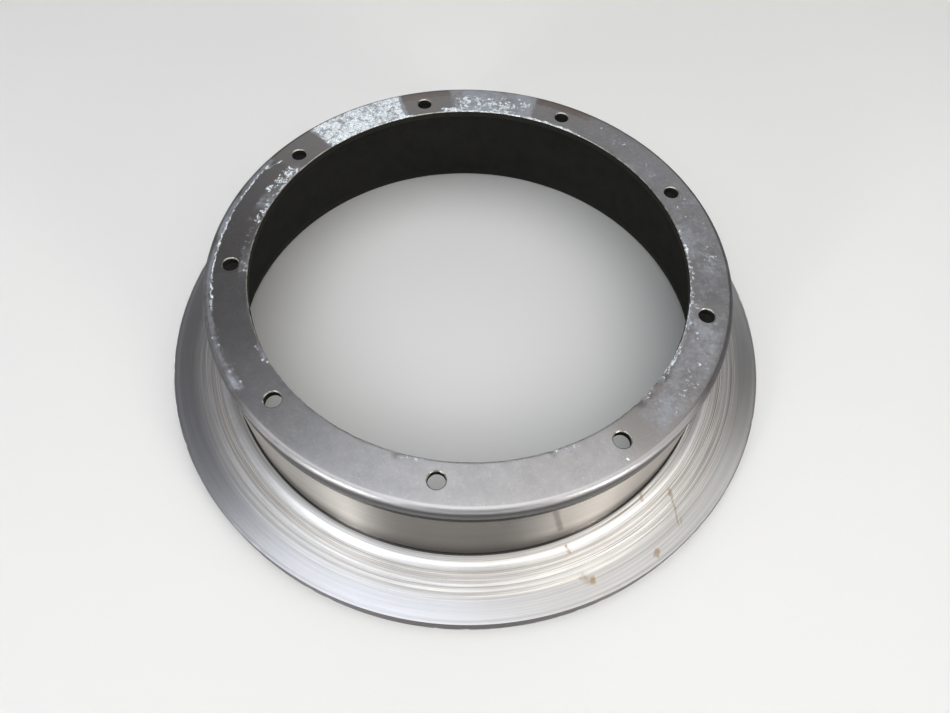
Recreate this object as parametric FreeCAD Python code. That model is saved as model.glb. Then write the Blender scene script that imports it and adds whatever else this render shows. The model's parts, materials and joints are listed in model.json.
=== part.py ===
import FreeCAD
import Part
import math
import os

# Aircraft brake disc, one turned steel piece.
# A flat friction ring carries a tall round hat, and the hat ends in an inward flange
# with a ring of bolt holes, by which the disc is bolted to the wheel.
# The disc stands on the friction ring, hat upwards. The origin is the centre of the
# ring's lower face, +Z is the axis, and the first bolt hole lies on +Y.
# All sizes are in millimetres.

# Flange and bolt holes
PILOT_BORE_DIAMETER = 185.2
BORE_TO_BOLT_CIRCLE = 7.4
FLANGE_THICKNESS = 3.2
BOLT_COUNT = 9
BOLT_HOLE_DIAMETER = 6.6
BOLT_HOLE_CHAMFER = 0.4
FIRST_HOLE_ANGLE = 90.0

# Hat
OVERALL_HEIGHT = 59.7
BOLT_CIRCLE_TO_HAT_WALL = 6.5
HAT_WALL_AT_TOP = 3.8
HAT_WALL_AT_FOOT = 5.0
HAT_CORNER_RADIUS = 2.7
HAT_INSIDE_CHAMFER = 3.0
LAND_HEIGHT = 5.3
LAND_STEP = 0.5
FOOT_CHAMFER = 0.6

# Friction ring
RING_THICKNESS = 9.5
RING_WIDTH = 27.2
EDGE_BREAK = 0.35

# Flared mouth inside the ring
MOUTH_FLARE = 5.5
MOUTH_HEIGHT = 11.0
MOUTH_BLEND_RADIUS = 12.0

# Radii worked out from the bore outwards
BORE_RADIUS = PILOT_BORE_DIAMETER / 2
BOLT_CIRCLE_RADIUS = BORE_RADIUS + BORE_TO_BOLT_CIRCLE
HAT_INSIDE_WALL_RADIUS = BOLT_CIRCLE_RADIUS + BOLT_CIRCLE_TO_HAT_WALL
WALL_TOP_RADIUS = HAT_INSIDE_WALL_RADIUS + HAT_WALL_AT_TOP
WALL_FOOT_RADIUS = HAT_INSIDE_WALL_RADIUS + HAT_WALL_AT_FOOT
LAND_RADIUS = WALL_TOP_RADIUS + LAND_STEP
RIM_RADIUS = WALL_FOOT_RADIUS + RING_WIDTH
MOUTH_RADIUS = HAT_INSIDE_WALL_RADIUS + MOUTH_FLARE

# Heights worked out from the ring's lower face
FLANGE_UNDERSIDE = OVERALL_HEIGHT - FLANGE_THICKNESS
LAND_BOTTOM = OVERALL_HEIGHT - HAT_CORNER_RADIUS - LAND_HEIGHT
WALL_TOP = LAND_BOTTOM - LAND_STEP

# How far a cutting tool runs past the face that it cuts
CUT_PAST = 1.0


class Corner:
    """A corner of a turned section, left sharp, rounded or chamfered."""

    def __init__(self, radius, height, rounding=0.0, chamfer=0.0):
        self.point = FreeCAD.Vector(radius, 0, height)
        self.rounding = rounding
        self.chamfer = chamfer

    def trim(self, before, after):
        """The points where the corner starts and ends, and the middle of its arc if it has one."""
        back = (before - self.point).normalize()
        on = (after - self.point).normalize()
        if self.rounding:
            half = back.getAngle(on) / 2
            bisector = (back + on).normalize()
            reach = self.rounding / math.tan(half)
            middle = self.point + bisector * (self.rounding / math.sin(half) - self.rounding)
            return self.point + back * reach, middle, self.point + on * reach
        return self.point + back * self.chamfer, None, self.point + on * self.chamfer


def turned(corners):
    """The solid swept by a closed section of corners that is turned once round Z."""
    edges = []
    ends = []
    for index, corner in enumerate(corners):
        before = corners[index - 1].point
        after = corners[(index + 1) % len(corners)].point
        start, middle, end = corner.trim(before, after)
        ends.append((start, end))
        if middle:
            edges.append(Part.Arc(start, middle, end).toShape())
        elif corner.chamfer:
            edges.append(Part.LineSegment(start, end).toShape())
    for index, (start, end) in enumerate(ends):
        next_start = ends[(index + 1) % len(ends)][0]
        edges.append(Part.LineSegment(end, next_start).toShape())
    section = Part.Face(Part.Wire(Part.__sortEdges__(edges)))
    return section.revolve(FreeCAD.Vector(0, 0, 0), FreeCAD.Vector(0, 0, 1), 360)


def flange_and_hat():
    """The corners from the bore up over the flange and down the hat's wall to its foot."""
    return [
        Corner(BORE_RADIUS, FLANGE_UNDERSIDE, chamfer=EDGE_BREAK),
        Corner(BORE_RADIUS, OVERALL_HEIGHT, chamfer=EDGE_BREAK),
        Corner(LAND_RADIUS, OVERALL_HEIGHT, rounding=HAT_CORNER_RADIUS),
        Corner(LAND_RADIUS, LAND_BOTTOM),
        Corner(WALL_TOP_RADIUS, WALL_TOP),
        Corner(WALL_FOOT_RADIUS, RING_THICKNESS, chamfer=FOOT_CHAMFER),
    ]


def friction_ring():
    """The corners of the ring's rim. Its two faces are flat and parallel, for the brake pads."""
    return [
        Corner(RIM_RADIUS, RING_THICKNESS, chamfer=EDGE_BREAK),
        Corner(RIM_RADIUS, 0, chamfer=EDGE_BREAK),
    ]


def mouth_and_inside():
    """The corners from the flared mouth up the inside of the hat to the flange."""
    return [
        Corner(MOUTH_RADIUS, 0, chamfer=EDGE_BREAK),
        Corner(HAT_INSIDE_WALL_RADIUS, MOUTH_HEIGHT, rounding=MOUTH_BLEND_RADIUS),
        Corner(HAT_INSIDE_WALL_RADIUS, FLANGE_UNDERSIDE, chamfer=HAT_INSIDE_CHAMFER),
    ]


def bolt_hole():
    """The tool for one bolt hole on the axis, with the hole's upper edge broken."""
    radius = BOLT_HOLE_DIAMETER / 2
    reach = BOLT_HOLE_CHAMFER + CUT_PAST
    return turned([
        Corner(0, FLANGE_UNDERSIDE - CUT_PAST),
        Corner(radius, FLANGE_UNDERSIDE - CUT_PAST),
        Corner(radius, OVERALL_HEIGHT + CUT_PAST - reach),
        Corner(radius + reach, OVERALL_HEIGHT + CUT_PAST),
        Corner(0, OVERALL_HEIGHT + CUT_PAST),
    ])


def bolt_holes():
    """The bolt holes' tools, evenly spaced on the bolt circle."""
    holes = []
    for number in range(BOLT_COUNT):
        angle = FIRST_HOLE_ANGLE + 360 * number / BOLT_COUNT
        hole = bolt_hole()
        hole.translate(FreeCAD.Vector(BOLT_CIRCLE_RADIUS, 0, 0))
        hole.rotate(FreeCAD.Vector(0, 0, 0), FreeCAD.Vector(0, 0, 1), angle)
        holes.append(hole)
    return holes


def brake_disc():
    """The whole disc: one turned section with the bolt holes drilled through its flange."""
    blank = turned(flange_and_hat() + friction_ring() + mouth_and_inside())
    drilled = blank.cut(bolt_holes())
    return drilled.Solids[0]


os.makedirs("parts", exist_ok=True)
disc = brake_disc()
disc.exportStep("parts/brake_disc.step")
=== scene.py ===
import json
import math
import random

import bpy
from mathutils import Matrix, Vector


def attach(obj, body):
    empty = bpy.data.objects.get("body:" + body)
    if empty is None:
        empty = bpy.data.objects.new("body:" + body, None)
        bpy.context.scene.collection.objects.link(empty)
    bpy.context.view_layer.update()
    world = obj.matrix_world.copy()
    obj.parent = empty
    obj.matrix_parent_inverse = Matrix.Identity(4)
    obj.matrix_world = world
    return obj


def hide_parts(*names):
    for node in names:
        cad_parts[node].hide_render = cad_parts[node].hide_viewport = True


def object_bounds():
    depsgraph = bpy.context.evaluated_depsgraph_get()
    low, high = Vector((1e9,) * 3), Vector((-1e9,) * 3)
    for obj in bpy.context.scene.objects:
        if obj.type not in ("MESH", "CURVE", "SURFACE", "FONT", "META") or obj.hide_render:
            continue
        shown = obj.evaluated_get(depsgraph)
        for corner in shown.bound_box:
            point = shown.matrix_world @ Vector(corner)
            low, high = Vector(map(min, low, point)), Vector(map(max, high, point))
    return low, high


bl_info = {
    "name": "Aircraft brake disc",
    "version": (1, 0, 0),
    "blender": (4, 5, 0),
    "location": "3D View > Sidebar > Brake disc",
    "description": "Dresses a turned steel brake disc as a worn one and lights it on a plain floor",
    "category": "Object",
}

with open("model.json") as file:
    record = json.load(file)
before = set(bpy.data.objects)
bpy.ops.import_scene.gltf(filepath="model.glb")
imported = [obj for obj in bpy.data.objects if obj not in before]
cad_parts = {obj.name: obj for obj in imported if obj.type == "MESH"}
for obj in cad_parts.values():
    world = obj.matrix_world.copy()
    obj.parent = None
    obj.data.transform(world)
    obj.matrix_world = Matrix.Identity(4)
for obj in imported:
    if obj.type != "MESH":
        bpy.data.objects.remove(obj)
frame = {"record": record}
cad_low, cad_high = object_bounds()

# Angles on the disc are given as the camera sees it: 0 is to the right and -90 is
# nearest. They are the part's own angles plus this turn, in degrees.
SEEN_TURN = 15.88

# The part's own first bolt hole lies on +Y
FIRST_HOLE_ANGLE = 90.0

NODE = "brake_disc"
ZONE = "zone"
FLANGE_ZONE = 0
WALL_ZONE = 1
RING_ZONE = 2
INSIDE_ZONE = 3
EDGE_ZONE = 4
MM = 0.001

# Points closer than this are one point
MERGE_DISTANCE = 0.001 * MM


def mount(name):
    """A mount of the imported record, by name."""
    return next(m for m in frame["record"]["mounts"] if m["name"] == name)


BOLTS = mount("wheel_bolts")["dims"]
BORE = mount("pilot_bore")["dims"]


def length(name, description, default):
    """A size in metres, shown as a length."""
    return bpy.props.FloatProperty(
        name=name, description=description, default=default, min=0.0, unit="LENGTH", precision=5
    )


def number(name, description, default, low=0.0, high=1.0):
    """A plain value between two limits."""
    return bpy.props.FloatProperty(name=name, description=description, default=default, min=low, max=high)


def panel_light(name, description, default):
    """The light of a panel, for each square metre of it."""
    return number(name, f"Light of {description}, in watts per square metre", default, 0.0, 500.0)


def angle(name, description, degrees):
    """An angle, given in degrees."""
    return bpy.props.FloatProperty(
        name=name, description=description, default=math.radians(degrees), subtype="ANGLE"
    )


def colour(name, description, default):
    """A colour as the material holds it, in linear light."""
    return bpy.props.FloatVectorProperty(
        name=name, description=description, default=default, size=3, min=0.0, max=1.0, subtype="COLOR"
    )


class DiscSizes(bpy.types.PropertyGroup):
    """The turned section, the bolt holes and how finely both are divided."""

    bore_radius: length("Bore radius", "Radius of the pilot bore", BORE["r_mm"] * MM)
    height: length("Height", "From the ring's lower face to the flange's top", cad_high.z)
    rim_radius: length("Rim radius", "Outer radius of the friction ring", cad_high.x)
    flange_thickness: length("Flange thickness", "Thickness of the bolted flange", 3.2 * MM)
    bolt_circle_radius: length("Bolt circle radius", "Where the bolt holes lie", BOLTS["pcd_mm"] / 2 * MM)
    hole_radius: length("Hole radius", "Radius of a bolt hole", BOLTS["hole_r_mm"] * MM)
    hole_break: length("Hole edge break", "Chamfer at the top of a bolt hole", 0.4 * MM)
    hole_count: bpy.props.IntProperty(
        name="Bolt holes", description="How many bolt holes", default=BOLTS["count"], min=1
    )
    corner_radius: length("Hat corner", "Rounding between the flange and the land", 2.7 * MM)
    land_radius: length("Land radius", "Radius of the smooth land below the corner", 110.8 * MM)
    land_height: length("Land height", "Height of the land below the corner", 5.3 * MM)
    land_step: length("Land step", "How far the wall is set in below the land", 0.5 * MM)
    wall_foot_radius: length("Wall foot radius", "Outer radius of the wall at the ring", 111.5 * MM)
    foot_fillet: length("Foot fillet", "Rounding between the wall and the ring", 0.9 * MM)
    inside_radius: length("Inside radius", "Inner radius of the hat's wall", 106.5 * MM)
    inside_fillet: length("Inside fillet", "Rounding under the flange", 3.4 * MM)
    ring_thickness: length("Ring thickness", "Thickness of the friction ring", 9.5 * MM)
    mouth_flare: length("Mouth flare", "How far the mouth widens below the wall", 5.5 * MM)
    mouth_height: length("Mouth height", "Height of the flared mouth", 11.0 * MM)
    mouth_blend: length("Mouth blend", "Rounding between the wall and the mouth", 12.0 * MM)
    edge_break: length("Edge break", "Rounding of the free edges", 0.35 * MM)
    shoulder: length("Unworn shoulder", "Width of the ring inside the pads' track", 4.0 * MM)
    lip: length("Rim lip", "Width of the ring outside the pads' track", 0.9 * MM)
    wear: length("Wear depth", "How far the pads have worn the track down", 0.14 * MM)
    groove_depth: length("Groove depth", "Depth of the deepest single groove in the track", 0.1 * MM)
    segments: bpy.props.IntProperty(
        name="Segments", description="Divisions round the disc", default=512, min=36
    )
    hole_segments: bpy.props.IntProperty(
        name="Hole segments", description="Divisions round a bolt hole", default=40, min=12
    )
    nick_depth: length("Nick depth", "Depth of the nicks in the free edges", 0.25 * MM)
    seed: bpy.props.IntProperty(name="Seed", description="Seed of the grooves and nicks", default=7)


class DiscFinish(bpy.types.PropertyGroup):
    """The colours of the worn steel and of what lies on it."""

    flange_steel: colour("Flange steel", "Dull steel of the flange", (0.285, 0.280, 0.284))
    flange_dark: colour("Boss marks", "Brown-grey steel where the wheel's bosses sat", (0.262, 0.246, 0.238))
    flange_brown: colour("Flange stain", "Brown stain at the flange's outer edge", (0.17, 0.125, 0.10))
    residue: colour("Residue", "White crumbs of corrosion", (0.76, 0.82, 0.88))
    haze: colour("Haze", "Blue-grey film under and between the crumbs", (0.345, 0.375, 0.425))
    wall_steel: colour("Wall steel", "Turned steel of the hat's wall", (0.80, 0.76, 0.71))
    # Painted shade: this colour darkens the wall's nearest part, where the camera stands
    wall_painted_shade: colour("Wall film", "Dark film on the nearest part of the wall", (0.20, 0.19, 0.18))
    ring_steel: colour("Ring steel", "Bright steel of the friction ring", (0.53, 0.53, 0.535))
    ring_brown: colour("Ring film", "Brown pad film between the grooves", (0.34, 0.29, 0.245))
    # Painted reflection tints: warm on the side where the warm lamps fall, cool on the side of the cool
    # ones; the warm one also tints the ring's clouds
    ring_warm: colour("Ring tint", "Warm tint on one side of the ring", (0.51, 0.485, 0.44))
    ring_cool: colour("Ring cool tint", "Cool tint on the other side, near the rim", (0.46, 0.465, 0.51))
    rim_side: colour("Rim side", "Dark film on the ring's outer edge", (0.12, 0.11, 0.115))
    ring_line: colour("Ring lines", "Bright lines where the pads have polished the ring", (0.90, 0.85, 0.77))
    edge_steel: colour("Bare edges", "Steel at the rubbed edges", (0.45, 0.435, 0.39))
    rust: colour("Rust", "Streaks and spots of rust", (0.36, 0.23, 0.11))
    # Partly the hat's own dark oxide film, partly painted shade: the colour is set darker still to stand for
    # the shade inside the hat
    inside_steel: colour("Inside", "Dark film inside the hat", (0.015, 0.015, 0.0135))
    inside_brown: colour("Inside stain", "Brown runs inside the hat", (0.018, 0.0155, 0.011))


class StageLooks(bpy.types.PropertyGroup):
    """The floor, the lamps and the camera."""

    floor: colour("Floor", "Colour of the plain floor", (0.70, 0.70, 0.69))
    sky_low: colour("Low surroundings", "Colour of the even light near the horizon", (0.48, 0.48, 0.48))
    sky_high: colour("High surroundings", "Colour of the even light above", (0.17, 0.17, 0.18))
    overhead_left: panel_light("Left overhead", "the left panels overhead", 6.7)
    overhead_right: panel_light("Right overhead", "the right panels overhead", 6.2)
    overhead_outer: panel_light("Outer overhead", "the outer panels overhead", 5.0)
    far_wall: panel_light("Far panel", "the wide panel beyond the disc", 2.1)
    near_wall: panel_light("Near panel", "the high panel behind the camera", 4.6)
    near_doors: panel_light("Near low panels", "the two low panels behind the camera", 10.0)
    side_panels: panel_light("Side panels", "the panels at the sides", 3.0)
    lens: number("Lens", "Focal length on a 36 mm sensor, in mm", 25.07, 1.0, 500.0)
    camera_turn: angle("Camera turn", "Heading of the camera, clockwise from +Y seen from above", SEEN_TURN)
    camera_drop: angle("Camera drop", "How far the camera looks down", 58.96)
    camera_roll: angle("Camera roll", "How far the camera is rolled", 2.86)
    camera_place: bpy.props.FloatVectorProperty(
        name="Camera place",
        description="Where the camera stands",
        default=(-0.04555, -0.17476, 0.27807),
        size=3,
        subtype="TRANSLATION",
    )


# The turned section


class Section:
    """The outline of a turned solid: points of radius and height, and the zone that follows each."""

    def __init__(self):
        self.points = []
        self.zones = []

    def add(self, radius, height, zone):
        """One more point."""
        self.points.append(Vector((radius, 0.0, height)))
        self.zones.append(zone)

    def line(self, start, end, steps, zone):
        """Even points from start up to, and without, end."""
        for step in range(steps):
            share = step / steps
            self.add(
                start[0] + (end[0] - start[0]) * share, start[1] + (end[1] - start[1]) * share, zone
            )

    def arc(self, centre, radius, first, last, steps, zone):
        """Points on an arc, both ends included, from one angle in degrees to another."""
        for step in range(steps + 1):
            turn = math.radians(first + (last - first) * step / steps)
            self.add(centre[0] + radius * math.cos(turn), centre[1] + radius * math.sin(turn), zone)

    def mesh(self, name):
        """The section as loose points, each with its zone."""
        made = bpy.data.meshes.new(name)
        made.from_pydata([tuple(p) for p in self.points], [], [])
        zones = made.attributes.new(ZONE, "INT", "POINT")
        zones.data.foreach_set("value", self.zones)
        return made


# Grooves in the pads' track, in shares of its width and of the groove depth. They crowd
# towards the hub, and those nearer the rim are shallower.
GROOVE_COUNT = 26
GROOVE_CROWDING = 1.7
GROOVE_WIDTHS = (0.006, 0.02)
GROOVE_DEPTHS = (0.2, 1.0)
GROOVE_FADE = 0.75
GROOVE_LIMIT = 1.4


def groove_profile(sizes):
    """How deep the pads' track is at a share of its width, from 0 inside to 1 outside."""
    draw = random.Random(sizes.seed)
    grooves = []
    for _ in range(GROOVE_COUNT):
        at = draw.random() ** GROOVE_CROWDING
        width = draw.uniform(*GROOVE_WIDTHS)
        deep = draw.uniform(*GROOVE_DEPTHS) * (1.0 - GROOVE_FADE * at)
        grooves.append((at, width, deep))

    def depth(share):
        """The wear and the grooves together at one place."""
        taken = sum(deep * math.exp(-(((share - at) / width) ** 2)) for at, width, deep in grooves)
        return sizes.wear + sizes.groove_depth * min(taken, GROOVE_LIMIT)

    return depth


# The worn track slopes up to the unworn ring over so many of its steps
TRACK_SLOPE_STEPS = 2
UPPER_TRACK_STEPS = 44
LOWER_TRACK_STEPS = 26

# How far a straight stretch starts from the rounded edge or blend before it
FLANGE_START = 1.0 * MM
LAND_START = 0.3 * MM
INSIDE_START = 4.0 * MM


def worn_face(section, sizes, steps, upper):
    """One face of the ring, from the wall out to the rim on top, or back from it below."""
    inner = sizes.wall_foot_radius + sizes.shoulder
    outer = sizes.rim_radius - sizes.lip
    depth = groove_profile(sizes)
    for step in range(steps + 1):
        share = step / steps if upper else 1.0 - step / steps
        ramp = min(1.0, min(share, 1.0 - share) * steps / TRACK_SLOPE_STEPS)
        cut = depth(share) * ramp
        height = sizes.ring_thickness - cut if upper else cut
        section.add(inner + (outer - inner) * share, height, RING_ZONE)


def disc_section(sizes):
    """The section of the whole disc, from the bore's lower edge round to it again."""
    s = Section()
    top = sizes.height
    under = top - sizes.flange_thickness
    bore = sizes.bore_radius
    land = sizes.land_radius
    small = sizes.edge_break
    corner = sizes.corner_radius
    land_foot = top - corner - sizes.land_height
    wall_top = (land - sizes.land_step, land_foot - sizes.land_step)
    ring = sizes.ring_thickness
    fillet = sizes.foot_fillet
    foot = sizes.wall_foot_radius
    s.arc((bore + small, under + small), small, 270, 180, 3, INSIDE_ZONE)
    s.arc((bore + small, top - small), small, 180, 90, 4, EDGE_ZONE)
    s.zones[-1] = FLANGE_ZONE
    s.line((bore + FLANGE_START, top), (land - corner, top), 5, FLANGE_ZONE)
    s.arc((land - corner, top - corner), corner, 90, 0, 12, FLANGE_ZONE)
    s.line((land, top - corner - LAND_START), (land, land_foot), 3, FLANGE_ZONE)
    s.line((land, land_foot), wall_top, 1, FLANGE_ZONE)
    s.line(wall_top, (foot, ring + fillet), 10, WALL_ZONE)
    s.arc((foot + fillet, ring + fillet), fillet, 180, 270, 6, WALL_ZONE)
    s.zones[-1] = RING_ZONE
    worn_face(s, sizes, UPPER_TRACK_STEPS, True)
    s.arc((sizes.rim_radius - small, ring - small), small, 90, 0, 4, RING_ZONE)
    s.line((sizes.rim_radius, ring - 2 * small), (sizes.rim_radius, small), 4, RING_ZONE)
    s.arc((sizes.rim_radius - small, small), small, 0, -90, 4, RING_ZONE)
    worn_face(s, sizes, LOWER_TRACK_STEPS, False)
    inside = sizes.inside_radius
    inside_fillet = sizes.inside_fillet
    mouth = inside + sizes.mouth_flare
    s.arc((mouth + small, small), small, 270, 200, 3, RING_ZONE)
    s.zones[-1] = INSIDE_ZONE
    mouth_arc(s, sizes, mouth)
    inside_low = sizes.mouth_height + INSIDE_START
    s.line((inside, inside_low), (inside, under - inside_fillet), 8, INSIDE_ZONE)
    s.arc((inside - inside_fillet, under - inside_fillet), inside_fillet, 0, 90, 6, INSIDE_ZONE)
    s.line((inside - inside_fillet - FLANGE_START, under), (bore + 2 * small, under), 3, INSIDE_ZONE)
    return s


def mouth_arc(section, sizes, mouth):
    """The rounding from the flared mouth up into the hat's straight wall."""
    slope = math.atan2(sizes.mouth_flare, sizes.mouth_height)
    reach = sizes.mouth_blend * math.tan(slope / 2)
    start = (
        sizes.inside_radius + reach * math.sin(slope),
        sizes.mouth_height - reach * math.cos(slope),
    )
    clear_of_edge = 0.12
    first = (mouth + (start[0] - mouth) * clear_of_edge, start[1] * clear_of_edge)
    section.line(first, start, 4, INSIDE_ZONE)
    centre = (sizes.inside_radius + sizes.mouth_blend, sizes.mouth_height + reach)
    section.arc(centre, sizes.mouth_blend, 180 + math.degrees(slope), 180, 5, INSIDE_ZONE)


# Geometry node trees


class Tree:
    """A geometry node tree, and the one way in which its nodes are made."""

    def __init__(self, name):
        self.tree = bpy.data.node_groups.new(name, "GeometryNodeTree")
        self.ends = self.tree.nodes.new("NodeGroupInput")
        self.out = self.tree.nodes.new("NodeGroupOutput")

    def give(self, name, kind):
        """A named input of the tree."""
        self.tree.interface.new_socket(name, in_out="INPUT", socket_type=kind)
        return self.ends.outputs[name]

    def result(self, socket):
        """The tree's one output."""
        self.tree.interface.new_socket("Geometry", in_out="OUTPUT", socket_type="NodeSocketGeometry")
        self.tree.links.new(socket, self.out.inputs[0])

    def node(self, kind, sockets=None, **settings):
        """A node with its settings made first and then the values or links of its sockets."""
        made = self.tree.nodes.new(kind)
        for name, value in settings.items():
            setattr(made, name, value)
        for key, value in (sockets or {}).items():
            if isinstance(value, bpy.types.NodeSocket):
                self.tree.links.new(value, made.inputs[key])
            else:
                made.inputs[key].default_value = value
        return made

    def maths(self, operation, *values):
        """The result of a Math node on sockets or numbers."""
        return self.node("ShaderNodeMath", dict(enumerate(values)), operation=operation).outputs[0]


def turning_tree():
    """Turns a section once round Z: a grid whose columns are the section's points."""
    t = Tree("Turned section")
    section = t.give("Section", "NodeSocketGeometry")
    segments = t.give("Segments", "NodeSocketInt")
    count = t.node("GeometryNodeAttributeDomainSize", {0: section}, component="MESH").outputs["Point Count"]
    grid = t.node(
        "GeometryNodeMeshGrid",
        {
            "Size X": 1.0,
            "Size Y": 1.0,
            "Vertices X": t.maths("ADD", count, 1),
            "Vertices Y": t.maths("ADD", segments, 1),
        },
    )
    at = t.node("ShaderNodeSeparateXYZ", {0: t.node("GeometryNodeInputPosition").outputs[0]})
    along = t.maths("MULTIPLY", t.maths("ADD", at.outputs["X"], 0.5), count)
    turn = t.maths("MULTIPLY", t.maths("ADD", at.outputs["Y"], 0.5), 2 * math.pi)
    nearest = t.maths("MODULO", t.maths("ROUND", along), count)
    place = t.node(
        "GeometryNodeSampleIndex",
        {"Geometry": section, "Value": t.node("GeometryNodeInputPosition").outputs[0], "Index": nearest},
        data_type="FLOAT_VECTOR",
    )
    radius_height = t.node("ShaderNodeSeparateXYZ", {0: place.outputs[0]})
    radius = radius_height.outputs["X"]
    turned_place = t.node(
        "ShaderNodeCombineXYZ",
        {
            "X": t.maths("MULTIPLY", radius, t.maths("COSINE", turn)),
            "Y": t.maths("MULTIPLY", radius, t.maths("SINE", turn)),
            "Z": radius_height.outputs["Z"],
        },
    )
    zone_name = t.node("GeometryNodeInputNamedAttribute", {"Name": ZONE}, data_type="INT")
    zone = t.node(
        "GeometryNodeSampleIndex",
        {"Geometry": section, "Value": zone_name.outputs[0], "Index": t.maths("FLOOR", along)},
        data_type="INT",
    )
    marked = t.node(
        "GeometryNodeStoreNamedAttribute",
        {"Geometry": grid.outputs["Mesh"], "Name": ZONE, "Value": zone.outputs[0]},
        data_type="INT",
        domain="FACE",
    )
    turned = t.node(
        "GeometryNodeSetPosition",
        {"Geometry": marked.outputs[0], "Position": turned_place.outputs[0]},
    )
    closed = t.node(
        "GeometryNodeMergeByDistance", {"Geometry": turned.outputs[0], "Distance": MERGE_DISTANCE}
    )
    t.result(closed.outputs[0])
    return t.tree


# Nicks: how near an edge they lie, and the level, rise and gain of the noise that places them
NICK_REACH = 0.75 * MM
NICK_SCALE = 240.0
NICK_LEVEL = 0.56
NICK_RISE = 0.12
NICK_GAIN = 8.0


def nick_offset(t, edges, depth, seed):
    """Small hollows along free edges, each a radius and a height: an inward offset by a noise."""
    at = t.node("GeometryNodeInputPosition").outputs[0]
    parts = t.node("ShaderNodeSeparateXYZ", {0: at})
    x, y, z = parts.outputs
    radius = t.maths("SQRT", t.maths("ADD", t.maths("MULTIPLY", x, x), t.maths("MULTIPLY", y, y)))
    near = None
    for edge_radius, edge_height in edges:
        away = t.maths(
            "ADD",
            t.maths("ABSOLUTE", t.maths("SUBTRACT", radius, edge_radius)),
            t.maths("ABSOLUTE", t.maths("SUBTRACT", z, edge_height)),
        )
        close = t.maths("LESS_THAN", away, NICK_REACH)
        near = close if near is None else t.maths("MAXIMUM", near, close)
    noise = t.node(
        "ShaderNodeTexNoise",
        {"Vector": at, "W": seed, "Scale": NICK_SCALE, "Detail": 3.0, "Roughness": 0.6},
        noise_dimensions="4D",
    )
    bite = t.maths("MAXIMUM", t.maths("SUBTRACT", noise.outputs["Fac"], NICK_LEVEL), 0.0)
    capped = t.maths("MULTIPLY", t.maths("MINIMUM", bite, NICK_RISE), NICK_GAIN)
    amount = t.maths("MULTIPLY", capped, near)
    inwards = t.maths("MULTIPLY", t.maths("MULTIPLY", amount, depth), -1.0)
    return t.node(
        "ShaderNodeVectorMath",
        {0: t.node("GeometryNodeInputNormal").outputs[0], "Scale": inwards},
        operation="SCALE",
    ).outputs[0]


def cone_tool(t, segments, low, high, low_radius, high_radius):
    """A cone that cuts, standing between two heights and given its radius at each."""
    cone = t.node(
        "GeometryNodeMeshCone",
        {
            "Vertices": segments,
            "Radius Bottom": low_radius,
            "Radius Top": high_radius,
            "Depth": t.maths("SUBTRACT", high, low),
        },
    )
    lift = t.node("ShaderNodeCombineXYZ", {"Z": low})
    return t.node(
        "GeometryNodeTransform", {"Geometry": cone.outputs["Mesh"], "Translation": lift.outputs[0]}
    ).outputs[0]


def drilled(t, blank, tool, places, zone):
    """A blank with a tool taken out of it at each place; the cut faces are of the given zone."""
    marked = t.node(
        "GeometryNodeStoreNamedAttribute",
        {"Geometry": tool, "Name": ZONE, "Value": zone},
        data_type="INT",
        domain="FACE",
    )
    placed = t.node("GeometryNodeInstanceOnPoints", {"Points": places, "Instance": marked.outputs[0]})
    tools = t.node("GeometryNodeRealizeInstances", {"Geometry": placed.outputs[0]})
    cut = t.node("GeometryNodeMeshBoolean", {"Mesh 1": blank}, operation="DIFFERENCE", solver="MANIFOLD")
    t.tree.links.new(tools.outputs[0], cut.inputs["Mesh 2"])
    return cut.outputs[0]


# Edges that fold by more than this are drawn sharp
SHARP_FOLD = math.radians(33)

# The disc's finishes, in the order of the zones
FINISHES = ("Flange", "Wall", "Ring", "Inside", "Edge")


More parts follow.
